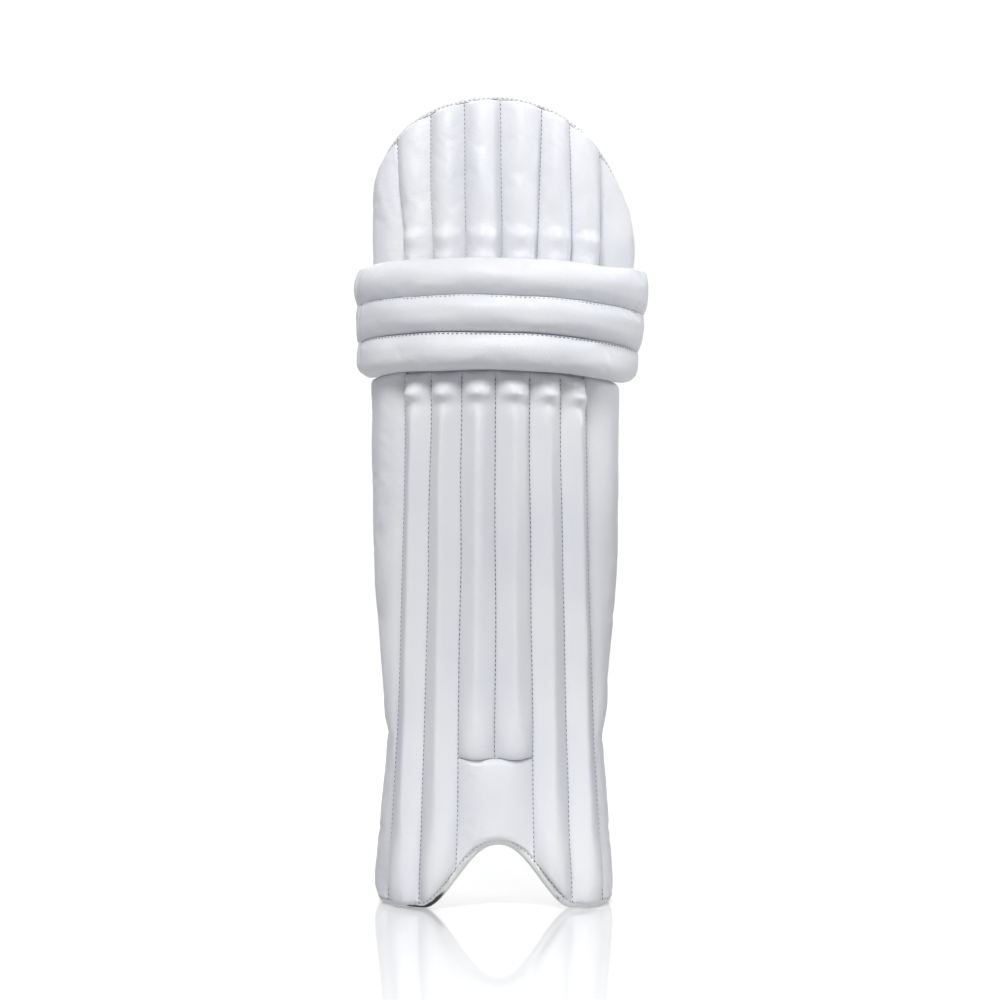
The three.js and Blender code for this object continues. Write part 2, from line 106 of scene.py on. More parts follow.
def outward_at(along, height):
    sideways = face_point(along + 0.5, height) - face_point(along - 0.5, height)
    upwards = face_point(along, height + 0.5) - face_point(along, height - 0.5)
    return unit(np.cross(sideways, upwards))


def on_sheet(along, height, out):
    """A place on the standing pad, in metres."""
    along, height, out = np.broadcast_arrays(*(np.asarray(v, float) for v in (along, height, out)))
    return (face_point(along, height) + outward_at(along, height) * out[..., None] + STAND) / 1000


def left_edge(height):
    return -plan("face_half", height) - plan("left_wing", height)


def right_edge(height):
    return plan("face_half", height) + plan("right_wing", height)


def foot_rim(along):
    """Height of the lower rim: an arch over the instep between two lobes, and rounded heels."""
    heel = np.clip(np.abs(along) - (right_edge(FOOT) - HEEL_RADIUS), 0, HEEL_RADIUS)
    t = np.clip(np.abs(along - ARCH["centre"]) / ARCH["half"], 0, 1)
    arch = ARCH["rise"] * (1 - (t * t * (3 - 2 * t)) ** ARCH["flatness"])
    return arch + HEEL_RADIUS - np.sqrt(HEEL_RADIUS**2 - heel**2)


def dome_rim(along):
    """Height of the upper rim: two quarter rounds that meet left of the centre line."""
    on_left = along < DOME["peak"]
    base = np.where(on_left, DOME["left"], DOME["right"])
    end = np.where(on_left, left_edge(HAT) - DOME["overrun"], right_edge(HAT) + DOME["overrun"])
    share = np.clip((along - DOME["peak"]) / (end - DOME["peak"]), 0, 1)
    return base + (DOME["top"] - base) * (1 - share ** DOME["power"]) ** (1 / DOME["power"])


def panel_place(across, up):
    """Along and height of a share of the panel's width and of its length."""
    low = foot_rim(left_edge(FOOT) + across * (right_edge(FOOT) - left_edge(FOOT)))
    high = dome_rim(left_edge(HAT) + across * (right_edge(HAT) - left_edge(HAT)))
    height = low + up * (high - low)
    return left_edge(height) + across * (right_edge(height) - left_edge(height)), height


def closer_at_ends(t, amount):
    """Shares from 0 to 1 that lie closer together towards both ends."""
    return t - amount * np.sin(2 * np.pi * t) / (2 * np.pi)


def lumps(along, height, size, depth, seed=0.0):
    """Soft unevenness of a stuffed cover: a few crossing waves of about that size and depth."""
    total = 0.0
    for wave in range(WAVES["count"]):
        turn = WAVES["turn"] * wave + seed
        run = (along * np.cos(turn) + height * np.sin(turn)) * (WAVES["rate"] + WAVES["gain"] * wave) / size
        total = total + np.sin(2 * np.pi * run + WAVES["shift"] * wave + WAVES["seed_shift"] * seed)
    return depth * total / (WAVES["count"] / 2)


def places(piece):
    found = np.empty(len(piece.data.vertices) * 3)
    piece.data.vertices.foreach_get("co", found)
    return found.reshape(-1, 3)


def put(piece, found):
    piece.data.vertices.foreach_set("co", np.asarray(found, np.float32).ravel())
    piece.data.update()


def flat_grid(name, across, up, layers):
    """A flat piece of even squares, as it lies on the cutting table, of one layer or two."""
    bpy.ops.object.select_all(action="DESELECT")
    bpy.ops.mesh.primitive_grid_add(x_subdivisions=across, y_subdivisions=up, size=1)
    piece = bpy.context.object
    piece.name = name
    if layers == 2:
        bpy.ops.object.mode_set(mode="EDIT")
        bpy.ops.mesh.select_all(action="SELECT")
        bpy.ops.mesh.extrude_region_move(TRANSFORM_OT_translate={"value": (0, 0, 1)})
        bpy.ops.mesh.select_all(action="SELECT")
        bpy.ops.mesh.normals_make_consistent(inside=False)
        bpy.ops.object.mode_set(mode="OBJECT")
    x, y, z = places(piece).T
    return piece, np.clip(x + 0.5, 0, 1), np.clip(y + 0.5, 0, 1), z > 0.5


def mark(piece, along, height, seam_shade_and_foot_band):
    """Keeps on the mesh where each point lies on the sheet, in metres, and how dark it is painted: painted
    shade in the seams of a cover, a near black band on the foot's tape.
    """
    corners = np.empty(len(piece.data.loops), int)
    piece.data.loops.foreach_get("vertex_index", corners)
    flat = np.stack((along, height), axis=-1)[corners] / 1000
    piece.data.uv_layers.active.data.foreach_set("uv", flat.astype(np.float32).ravel())
    attribute = piece.data.attributes.new("seam_shade_and_foot_band", "FLOAT", "POINT")
    attribute.data.foreach_set("value", np.asarray(seam_shade_and_foot_band, np.float32))


class Wire:
    """A shader value that takes part in plain sums."""

    def __init__(self, finish, socket):
        self.finish, self.socket = finish, socket

    def _sum(self, operation, first, second):
        return self.finish.node("ShaderNodeMath", {"operation": operation}, {0: first, 1: second})

    def __add__(self, other):
        return self._sum("ADD", self, other)

    def __sub__(self, other):
        return self._sum("SUBTRACT", self, other)

    def __rsub__(self, other):
        return self._sum("SUBTRACT", other, self)

    def __mul__(self, other):
        return self._sum("MULTIPLY", self, other)

    __radd__, __rmul__ = __add__, __mul__


class Finish:
    """A surface or sky, with one way to add a node: its settings first, then its sockets."""

    def __init__(self, owner, shader, fixed):
        owner.use_nodes = True
        self.owner, self.tree = owner, owner.node_tree
        self.shader = self.tree.nodes[shader]
        self.feed(self.shader, fixed)

    def node(self, kind, settings, sockets, output=0):
        made = self.tree.nodes.new(kind)
        for name, value in settings.items():
            setattr(made, name, value)
        self.feed(made, sockets)
        return Wire(self, made.outputs[output])

    def feed(self, made, sockets):
        for key, value in sockets.items():
            if isinstance(value, Wire):
                self.tree.links.new(value.socket, made.inputs[key])
            else:
                made.inputs[key].default_value = value

    def place(self):
        return self.node("ShaderNodeTexCoord", {}, {}, "Object")

    def cloud(self, scale, detail=2.0):
        """Soft noise from 0 to 1, with that many patches to the metre."""
        return self.node("ShaderNodeTexNoise", {}, {"Vector": self.place(), "Scale": scale, "Detail": detail})

    def ramp(self, value, low, high):
        """0 below low, 1 above high and smooth between."""
        return self.node("ShaderNodeMapRange", {"interpolation_type": "SMOOTHSTEP"},
                         {"Value": value, "From Min": low, "From Max": high})

    def mix(self, share, first, second):
        return self.node("ShaderNodeMix", {"data_type": "RGBA"}, {0: share, 6: first, 7: second}, 2)

    def relief(self, height, depth, under=None):
        """Raises the surface by a height from 0 to 1 times a depth in metres."""
        sockets = {"Height": height, "Strength": 1.0, "Distance": depth}
        return self.node("ShaderNodeBump", {}, sockets if under is None else {**sockets, "Normal": under})


def surface(name, fixed):
    return Finish(bpy.data.materials.new(name), "Principled BSDF", fixed)


def coated_cloth():
    """White coated cloth: a fine pebbled grain, a soft sheen, and painted shade, a little grey laid into the
    seams and creases.
    """
    finish = surface("white_facing", {"Coat Weight": 0.05, "Coat Roughness": 0.4})
    pebbles = finish.node("ShaderNodeTexVoronoi", {"feature": "SMOOTH_F1"},
                          {"Vector": finish.place(), "Scale": 1100.0, "Smoothness": 0.5})
    grain = finish.cloud(420.0, 3.0)
    patches = finish.ramp(finish.cloud(14.0), 0.32, 0.68)
    seam = finish.node("ShaderNodeAttribute", {"attribute_name": "seam_shade_and_foot_band"}, {}, "Fac")
    # Painted shade: grey in the seams and creases, where shade falls, most of all under the knee rolls.
    seam_shade = seam * (0.02 + 0.16 * finish.cloud(60.0))
    white = finish.mix(patches, (0.70, 0.71, 0.745, 1), (0.735, 0.74, 0.755, 1))
    # The bluish grey below is the colour of the painted shade.
    finish.feed(finish.shader, {
        "Base Color": finish.mix(seam_shade, white, (0.50, 0.52, 0.58, 1)),
        "Roughness": 0.44 + 0.1 * grain + 0.08 * patches,
        "Normal": finish.relief(pebbles, 0.00012, finish.relief(grain, 0.0002)),
    })
    return finish.owner


def cotton_lining():
    """Off-white cotton in a plain weave, a little soiled by use."""
    finish = surface("cotton_lining", {"Roughness": 0.92, "Sheen Weight": 0.15})
    lie = finish.node("ShaderNodeUVMap", {}, {})
    parts = finish.node("ShaderNodeSeparateXYZ", {}, {"Vector": lie})
    up = Wire(finish, parts.socket.node.outputs["Y"])
    turns = 2 * np.pi / 0.0011
    warp = finish.node("ShaderNodeMath", {"operation": "SINE"}, {0: parts * turns})
    weft = finish.node("ShaderNodeMath", {"operation": "SINE"}, {0: up * turns})
    weave = 0.5 + 0.5 * (warp * weft)
    soiled = finish.ramp(finish.cloud(9.0, 4.0), 0.42, 0.75)
    thread = finish.mix(weave, (0.60, 0.585, 0.55, 1), (0.70, 0.69, 0.66, 1))
    finish.feed(finish.shader, {
        "Base Color": finish.mix(soiled * 0.5, thread, (0.56, 0.54, 0.50, 1)),
        "Normal": finish.relief(weave, 0.00025),
    })
    return finish.owner


WHITE_FACING = coated_cloth()
QUILT = {"columns": 96, "rows": 200, "swell": 0.9, "dip": 1.6, "reach": 4.5, "seam_shade": 3.0}
LINED_FRONT = -0.1  # the panel's own front, just under the pads


def lining_out(along, height):
    """Where the quilted lining lies, and how far the nearest seam is from there."""
    third = plan("face_half", height) / 3
    from_seam = np.abs(along - third * np.clip(np.round(along / third), -3, 3))
    swell = QUILT["swell"] - QUILT["dip"] * np.exp(-(from_seam / QUILT["reach"]) ** 2)
    return -PANEL_THICKNESS - swell - lumps(along, height, 45, 0.5), from_seam


panel, across, up, outside = flat_grid("back_panel_quilted", QUILT["columns"], QUILT["rows"], 2)
along, height = panel_place(closer_at_ends(across, 0.3), up)
inside, from_seam = lining_out(along, height)
# Painted shade along the quilting seams of the outer face.
mark(panel, along, height, np.exp(-(from_seam / QUILT["seam_shade"]) ** 2))
put(panel, on_sheet(along, height, np.where(outside, LINED_FRONT, inside)))
panel.data.materials.append(WHITE_FACING)
panel.data.materials.append(cotton_lining())
for face in panel.data.polygons:
    face.material_index = 0 if outside[list(face.vertices)].all() else 1
bpy.ops.object.shade_smooth_by_angle(angle=np.radians(50))
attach(panel, "root")
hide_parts("back_panel")

# Shin rolls
# Six stiff foam rods under one white cover, sewn down between them. Each has a roof-shaped ridge and
# a small knob under the knee, and its foot end is rounded. The middle pair stop above the instep.
SEAM_TOP = 2.6  # outer face of the cover where it is stitched down
SEAM_LAP = 0.5  # how far two covers press into one another in one seam
SEAM_WANDER = 0.5
SEAM_LEAN = {-3: -6, 1: 4.5}  # how far two of the seams lean outwards at the dome
LEAN_HEIGHTS = (540, 640)
SEAM_SHADE_REACH = 2.4  # how far from a seam its painted shade reaches
PAD_BACK = 0.3  # from the panel to the back of a pad
KNEE_GAP = 0.5
TAPE_MARGIN = 2.7  # from the rim to the padding
INSTEP_TOP = 122
KNEE = {"bottom": 439.7, "pitch": 30, "thickness": 28, "seat": 0.8, "reach": 126,
        "droop": 7.3, "fade": 1.4, "tilt": 2.4}
FOOT_END = {"corner": 8, "hang": 1, "up": (0, 1.5, 4, 8, 16, 30, 60, 120, 220),
            "rise": (1.0, 3.8, 6.4, 9, 11.4, 12, 11, 11, 12.2),
            "power": (2.8, 2.7, 2.6, 2.4, 2.2, 2, 1.4, 1.08, 1.08)}
BLOCK_END = {"corner": 3, "hang": 0.6, "up": (0, 1.5, 4, 8, 16, 30, 50, 90, 220),
             "rise": (1.0, 4.6, 7.4, 9.8, 12, 12.8, 11.8, 11.6, 12.2),
             "power": (2.8, 2.7, 2.6, 2.5, 2.3, 1.8, 1.3, 1.08, 1.08)}
KNEE_END = {"down": (0, 2, 4, 7, 12, 18, 24, 30, 42, 60),
            "rise": (1.5, 3.4, 4.6, 5.6, 6.8, 8.4, 10, 11.2, 12, 12.2),
            "power": (2.6, 2.4, 2.3, 2.2, 2.1, 2, 1.8, 1.4, 1.15, 1.08)}
FOOT_LENGTH = 200  # the part of a roll that is shaped from its foot end
KNOB = {"down": 18, "length": 7, "lower_length": 5.2, "width": 0.6, "rise": 7}
CREASE = {"down": 27, "length": 6.5, "depth": 1.8}
END_BULGE = {"reach": 5.5, "drop": 5.4}
RIDGE_AT = (0.58, 0.52, 0.5, 0.5, 0.48, 0.46)  # share of each roll's width
RIDGE_ROUNDING = 0.035  # of half a roll's width
SCALLOP = 1.3


def knee_seam(index, along):
    """Height of a seam of the knee rolls, which bow down towards their ends and wander a little."""
    share = along / KNEE["reach"]
    return (KNEE["bottom"] + KNEE["pitch"] * index + lumps(along, 0, 75, SEAM_WANDER, index)
            - (KNEE["droop"] - KNEE["fade"] * index) * share**2 - KNEE["tilt"] * share)


def inside_rim(end, along, margin):
    """Height that leaves a margin, square to the foot's rim or the dome's, between it and the padding."""
    def rim(at):
        return np.interp(at, *panel_place(np.linspace(0, 1, 600), end))
    return rim(along) + margin * np.hypot(1, rim(along + 0.5) - rim(along - 0.5))


def scallop(along):
    """The seam above the instep hangs in a small bow under each of the middle rolls."""
    roll = plan("face_half", INSTEP_TOP) / 3
    return INSTEP_TOP - SCALLOP * np.sin(np.pi * np.clip(np.abs(along) / roll, 0, 1)) ** 2


def lay_out(across, up, left, right, bottom, top):
    """Along and height of the points of a pad between two side lines and two ends."""
    low, high = FOOT + 0 * across, HAT + 0 * across
    for _ in range(5):
        low, high = (end(left(at) + across * (right(at) - left(at)))
                     for end, at in ((bottom, low), (top, high)))
    height = low + up * (high - low)
    side_left, side_right = left(height) - SEAM_LAP / 2, right(height) + SEAM_LAP / 2
    return side_left + across * (side_right - side_left), height, height - low, high - height


def end_bulge(distance, crown):
    """How far a rounded end hangs over its own seam, at a distance from that seam."""
    share = distance / END_BULGE["reach"]
    return END_BULGE["drop"] * crown * share * np.exp(1 - share)


def seam_shade_share(across, along, up, down):
    """How much painted shade a point takes: 1 in a seam, falling to 0 a few millimetres from it."""
    from_side = np.minimum(across, 1 - across) * np.ptp(along)
    return np.exp(-(np.minimum(from_side, np.minimum(up, down)) / SEAM_SHADE_REACH) ** 2)


def roll_seam(third):
    """Along of a seam between two rolls, at a height: it wanders a little, and may lean at the top."""
    lean = SEAM_LEAN.get(third, 0)
    return lambda height: (plan("face_half", height) * third / 3 + lumps(0, height, 150, SEAM_WANDER, third)
                           + lean * curve(LEAN_HEIGHTS, (0, 1), height))


def under_knee(along):
    return knee_seam(0, along) - KNEE_GAP


def padded_foot(along):
    return inside_rim(0.0, along, TAPE_MARGIN)


def finish_pad(piece, node):
    """Smooths a finished pad, gives it the white cover and hides the solid that it stands for."""
    piece.data.materials.append(WHITE_FACING)
    bpy.context.view_layer.objects.active = piece
    softened = piece.modifiers.new("softened", "SUBSURF")
    softened.levels = softened.render_levels = 1
    bpy.ops.object.modifier_apply(modifier=softened.name)
    bpy.ops.object.shade_smooth_by_angle(angle=np.radians(60))
    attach(piece, "root")
    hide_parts(node)


for roll in range(6):
    node = f"shin_roll_{roll + 1}"
    stops = roll in (2, 3)
    end = BLOCK_END if stops else FOOT_END
    piece, across, up, outside = flat_grid(f"{node}_cover", 16, 130, 2)
    off = np.abs(2 * across - 1)
    across = np.interp(across, (0, 0.5, 1), (0, RIDGE_AT[roll], 1))
    up = closer_at_ends(up, 0.55)
    along, height, above, below = lay_out(
        across, up, roll_seam(roll - 3), roll_seam(roll - 2), scallop if stops else padded_foot, under_knee)
    near_foot = above < FOOT_LENGTH
    from_end = np.clip(above - end["corner"] * off**3, 0, None)
    rise, power = (np.where(near_foot, curve(end["up"], end[column], from_end),
                            curve(KNEE_END["down"], KNEE_END[column], below)) for column in ("rise", "power"))
    length = np.where(below < KNOB["down"], KNOB["length"], KNOB["lower_length"])
    knob = KNOB["rise"] * np.exp(-((below - KNOB["down"]) / length) ** 2 - (off / KNOB["width"]) ** 2)
    crease = CREASE["depth"] * np.exp(-((below - CREASE["down"]) / CREASE["length"]) ** 2)
    ridge = np.hypot(off, RIDGE_ROUNDING) - RIDGE_ROUNDING
    crown = 1 - (ridge / (np.hypot(1, RIDGE_ROUNDING) - RIDGE_ROUNDING)) ** power
    out = SEAM_TOP + crown * (rise - crease + lumps(along, height, 55, 0.3, roll)) + knob
    height = height - np.where(outside, end_bulge(above, crown) * end["hang"], 0)
    mark(piece, along, height, seam_shade_share(across, along, above, below))
    put(piece, on_sheet(along, height, np.where(outside, out, PAD_BACK)))
    finish_pad(piece, node)

# Instep block
# A flat soft pad over the laces of the boot, between the two lobes of the foot. Its cover is sewn to
# the rolls on three sides and to the arch below.
FILLING = {"frames": 20, "pressure": 4.0, "slack": 0.015}


def fill_out(piece, held, along, height, cap):
    """Fills a sewn cover: it swells under a light pressure where it isn't sewn down, up to a cap in mm."""
    before = places(piece)
    sewn = piece.vertex_groups.new(name="sewn")
    sewn.add([int(i) for i in np.flatnonzero(held)], 1.0, "REPLACE")
    bpy.context.view_layer.objects.active = piece
    filling = piece.modifiers.new("filling", "CLOTH")
    filling.settings.vertex_group_mass = sewn.name
    filling.settings.use_pressure = True
    filling.settings.uniform_pressure_force = FILLING["pressure"]
    filling.settings.shrink_min = -FILLING["slack"]
    filling.settings.effector_weights.gravity = 0
    filling.collision_settings.use_collision = False
    filling.point_cache.frame_start, filling.point_cache.frame_end = 1, FILLING["frames"]
    for step in range(1, FILLING["frames"] + 1):
        bpy.context.scene.frame_set(step)
    bpy.ops.object.modifier_apply(modifier=filling.name)
    bpy.context.scene.frame_set(1)
    outward = outward_at(along, height)
    swell = np.sum((places(piece) - before) * outward, axis=1, keepdims=True)
    put(piece, before + outward * np.clip(swell, -cap / 2000, cap / 1000))
    piece.vertex_groups.clear()


def sewn_edge(across, up, outside):
    """The points of a pad that are stitched down: its back and the rim of its front."""
    from_rim = np.minimum(np.minimum(across, 1 - across), np.minimum(up, 1 - up))
    return ~outside | (from_rim < 1e-4)


INSTEP = {"share": (0, 0.04, 0.1, 0.2, 0.5, 0.8, 0.93, 0.98, 1),
          "rise": (1, 3.6, 5, 6, 7.2, 8.2, 7.4, 5, 2), "power": 3, "hang": 0.7, "swell": 1.4}

piece, across, up, outside = flat_grid("instep_block_cover", 32, 36, 2)
across, up = closer_at_ends(across, 0.5), closer_at_ends(up, 0.5)
along, height, above, below = lay_out(across, up, roll_seam(-1), roll_seam(1), padded_foot, scallop)
crown = 1 - np.abs(2 * across - 1) ** INSTEP["power"]
out = SEAM_TOP + crown * (curve(INSTEP["share"], INSTEP["rise"], up) + lumps(along, height, 38, 0.4))
height = height - np.where(outside, INSTEP["hang"] * end_bulge(above, crown), 0)
mark(piece, along, height, seam_shade_share(across, along, above, below))
put(piece, on_sheet(along, height, np.where(outside, out, PAD_BACK)))
fill_out(piece, sewn_edge(across, up, outside), along, height, INSTEP["swell"])
finish_pad(piece, "instep_block")

# Wings
# A soft padded flap down each side of the shin that shields the leg. It is thin and limp at the boot,
# fuller from the ankle up, and its cover is sewn to the outer roll and to the taped rear edge.
WING_FOOT = {"up": (0, 20, 90, 130, 140, 160, 200, 250, 340, 430),
             "rise": (0.5, 1.2, 1.5, 2.0, 3.6, 6, 7.5, 9, 10, 10.5)}
WING_KNEE = {"down": (0, 1.5, 4, 10, 25, 430), "rise": (6, 9, 10.4, 10.8, 10.8, 11)}
WING = {"lap": 2.2, "power": 3.6, "swell": 1.2}  # lap: how far it goes in behind the knee rolls


def left_rear(height):
    return left_edge(height) + TAPE_MARGIN


def right_rear(height):
    return right_edge(height) - TAPE_MARGIN


def under_roll(along):
    return knee_seam(0, along) + WING["lap"]


for node, left, right in (("wing_left", left_rear, roll_seam(-3)),
                          ("wing_right", roll_seam(3), right_rear)):
    piece, across, up, outside = flat_grid(f"{node}_cover", 24, 130, 2)
    across, up = closer_at_ends(across, 0.4), closer_at_ends(up, 0.4)
    along, height, above, below = lay_out(across, up, left, right, padded_foot, under_roll)
    rise = np.minimum(curve(WING_FOOT["up"], WING_FOOT["rise"], above),
                      curve(WING_KNEE["down"], WING_KNEE["rise"], below))
    crown = 1 - np.abs(2 * across - 1) ** WING["power"]
    out = SEAM_TOP + crown * (rise + np.clip(rise / 6, 0.3, 1) * lumps(along, height, 70, 0.5, len(node)))
    mark(piece, along, height, seam_shade_share(across, along, above, below))
    put(piece, on_sheet(along, height, np.where(outside, out, PAD_BACK)))
    fill_out(piece, sewn_edge(across, up, outside), along, height, WING["swell"])
    finish_pad(piece, node)

# Knee rolls
# Three round bolsters laid across the knee, one above the other, each a tube of white cover stuffed
# tight, closed by a seam at its left end and sewn to the panel along its back. They bow down towards
# their ends, and the stuffing has settled a little.
LEFT_END = {"inset": (0, 0.7, 1.8, 4, 7, 9, 11, 14, 18, 126),
            "share": (0.76, 0.86, 0.91, 0.94, 0.93, 0.9, 0.93, 0.98, 1, 1)}
RIGHT_END = {"inset": (0, 0.7, 1.8, 4, 8, 20, 126), "share": (0.86, 0.95, 1, 1.03, 1.04, 1.02, 1)}
CORNERS = {"inset": (0, 0.7, 2, 4, 126), "share": (0.88, 0.95, 0.98, 1, 1)}
# Lower corners of the lowest roll, and the right upper corner of the highest
KNEE_CORNER = {"inset": (0, 4, 10, 18, 126), "lift": (8, 4.6, 1.6, 0, 0)}
TOP_CORNER = {"inset": (0, 14, 45, 126), "lift": (4.6, 3, 0, 0)}
TURN_UNDER = 50  # degrees that the tube turns in at its back
FACE_POWER = (3.0, 2.9, 2.3)  # of each roll: 2 for a round face, more for a flatter one
FULLNESS = (0.96, 1.0, 1.02)
SAG = 1.4  # how far the stuffing settles
# How far out each roll is at its lower and its upper seam, in the middle and at the ends
UNDER = ((0.5, 0.74), (0.5, 0.94), (0.74, 0.94))
OVER = ((0.7, 0.94), (0.8, 0.94), (0.62, 0.8))
TOWARDS_END = {"along": (0, 60, 100, 126), "share": (0, 0.08, 0.45, 1)}
BELLY_POWER = 0.75
BACK_WIDTH = 0.6  # of the height of a roll
KNEE_SHADE_REACH = 0.18  # how far from a seam its painted shade reaches, as a share of its thickness
KNEE_SEWN = {"bulge": 0.05, "end": 3}  # what is held while it is filled
KNEE_SWELL = 1.6


def knee_valley(depths, along):
    """How far out a roll is at its seam, as a share of its thickness: further towards the ends."""
    share = curve(TOWARDS_END["along"], TOWARDS_END["share"], np.abs(along))
    return depths[0] + (depths[1] - depths[0]) * share


for index, node in enumerate(("knee_roll_lower", "knee_roll_middle", "knee_roll_upper")):
    piece, along_share, round_share, outside = flat_grid(f"{node}_cover", 110, 26, 2)
    along = KNEE["reach"] * (2 * closer_at_ends(along_share, 0.5) - 1)
    inset = KNEE["reach"] - np.abs(along)
    share = np.where(along < 0, *(curve(end["inset"], end["share"], inset)
                                  for end in (LEFT_END, RIGHT_END)))
    angle = np.radians(-TURN_UNDER + round_share * (180 + 2 * TURN_UNDER))
    sine, cosine = np.sin(angle), np.cos(angle)
    widest = np.where(cosine > 0, knee_valley(UNDER[index], along), knee_valley(OVER[index], along))
    belly = np.where(sine > 0, (1 - np.abs(cosine) ** FACE_POWER[index]) ** BELLY_POWER, 0)
    face = np.where(sine > 0, (1 - widest) * belly, widest * sine)
    across = np.where(outside, -cosine, BACK_WIDTH * (2 * round_share - 1))
    out = np.where(outside, widest + face, 0) * KNEE["thickness"] * FULLNESS[index] * share
    low, high = knee_seam(index, along), knee_seam(index + 1, along)
    if index == 0:
        low = low + curve(KNEE_CORNER["inset"], KNEE_CORNER["lift"], inset)
    if index == 2:
        high = high + np.where(along > 0, curve(TOP_CORNER["inset"], TOP_CORNER["lift"], inset), 0)
    half = (high - low + SEAM_LAP) / 2 * curve(CORNERS["inset"], CORNERS["share"], inset)
    height = (low + high) / 2 - np.where(outside, SAG * belly, 0) + half * across
    bulge = np.clip(sine, 0, 1)
    out = out + np.where(outside, bulge * lumps(along, height, 52, 1.1, index + 0.4), 0)
    from_valley = np.clip(out / KNEE["thickness"] - widest, 0, None)
    # Painted shade in the crease between two rolls, stronger on the underside of each roll than on its top.
    seam_shade_and_foot_band = np.where(outside, (1.5 + cosine) * np.exp(-(from_valley / KNEE_SHADE_REACH) ** 2), 1)
    mark(piece, along, height, seam_shade_and_foot_band)
    put(piece, on_sheet(along, height, KNEE["seat"] + out))
    held = ~outside | (bulge < KNEE_SEWN["bulge"]) | (np.abs(along) > KNEE["reach"] - KNEE_SEWN["end"])
    fill_out(piece, held, along, height, KNEE_SWELL)
    finish_pad(piece, node)

# Top hat
# The part above the knee: six upright rolls, each with a bulge just over the knee rolls where the
# foam is doubled, and a softer panel at each side. All end under the tape of the dome.
HAT_LOW = {"up": (0, 6, 10, 15, 23, 33, 63, 143), "rise": (14.6, 12.8, 11.8, 11, 10.2, 10, 10.4, 10.3)}
HAT_BULGE = {"up": 22, "length": 5, "lower_length": 9, "width": 0.62, "rise": 4.6}
HAT_HIGH = {"down": (0, 1.5, 4, 9, 20, 60, 140), "rise": (0.8, 3.6, 6.4, 8.6, 10, 11.4, 13.5)}
SIDE_LOW = {"up": (0, 8, 25, 60, 140), "rise": (9.6, 9, 8.6, 8.4, 8)}
SIDE_HIGH = {"down": (0, 1.5, 4, 10, 40, 140), "rise": (0.8, 2.6, 4, 5.6, 8.2, 9)}
SIDE_POWER, ROLL_POWER = 2.5, 2.1
RIGHT_SIDE_TILT = 1.2  # how much fuller the right side panel is towards its edge
DOME_MARGIN = 4.0  # from the rim to the padding
HAT_LAP = 2.5  # how far it goes in behind the knee rolls
HAT_HANG = 0.3
HAT_SWELL = 1.4


def above_knee(along):
    return knee_seam(3, along) - HAT_LAP


def padded_dome(along):
    return inside_rim(1.0, along, -DOME_MARGIN)


hat_sides = [left_rear, *(roll_seam(third) for third in range(-3, 4)), right_rear]
for roll, (left, right) in enumerate(zip(hat_sides, hat_sides[1:])):
    node = f"hat_roll_{roll + 1}"
    at_side = roll in (0, 7)
    low, high = (SIDE_LOW, SIDE_HIGH) if at_side else (HAT_LOW, HAT_HIGH)
    piece, across, up, outside = flat_grid(f"{node}_cover", 18, 56, 2)
    across, up = closer_at_ends(across, 0.4), closer_at_ends(up, 0.5)
    along, height, above, below = lay_out(across, up, left, right, above_knee, padded_dome)
    rise = np.minimum(curve(low["up"], low["rise"], above), curve(high["down"], high["rise"], below))
    crown = 1 - np.abs(2 * across - 1) ** (SIDE_POWER if at_side else ROLL_POWER)
    if roll == 7:
        rise = rise * (1 + RIGHT_SIDE_TILT * (across - 0.5))
    out = SEAM_TOP + crown * (rise + np.clip(rise / 8, 0, 1) * lumps(along, height, 46, 0.5, roll + 0.7))
    if not at_side:
        off = np.abs(2 * across - 1) / HAT_BULGE["width"]
        length = np.where(above > HAT_BULGE["up"], HAT_BULGE["length"], HAT_BULGE["lower_length"])
        out = out + HAT_BULGE["rise"] * np.exp(-((above - HAT_BULGE["up"]) / length) ** 2 - off**2)
    height = height + np.where(outside, HAT_HANG * end_bulge(below, crown), 0)
    mark(piece, along, height, seam_shade_share(across, along, above, below))
    put(piece, on_sheet(along, height, np.where(outside, out, PAD_BACK)))
    fill_out(piece, sewn_edge(across, up, outside), along, height, HAT_SWELL)
    finish_pad(piece, node)

# Bindings
# White coated tape folded over the raw edge of the panel and sewn through both lips: one length over
# the dome, one down each wing, and one round the foot, which is near black on its underside in two places.
TAPE = {"lip": 3.1, "half": 4.4, "nose": 1.6, "thickness": 1.0, "round_from": -1.8, "wrap": 260}
RIPPLE = {"depth": 0.35, "quick": 0.9, "slow": 0.23}
# Where the foot's tape is made near black on its underside.
FOOT_BAND = {"left": -0.061, "left_half": 0.019, "right": 0.048, "right_half": 0.004, "right_share": 0.66,
         "turned": 36, "gain": 2, "from": 1.1}  # places in metres, and the side of the fold in degrees


def rim_loop(count):
    """Once round the rim from the left heel by way of the foot, with that many steps to each side."""
    shares = closer_at_ends(np.linspace(0, 1, count, endpoint=False), 0.3)
    across = np.concatenate((shares, np.ones(count), 1 - shares, np.zeros(count)))
    up = np.concatenate((np.zeros(count), shares, np.ones(count), 1 - shares))
    along, height = panel_place(across, up)
    middle = on_sheet(along, height, -PANEL_THICKNESS / 2)
    forward = unit(np.roll(middle, -1, axis=0) - np.roll(middle, 1, axis=0))
    outward = outward_at(along, height)
    return middle, outward, unit(np.cross(forward, outward))


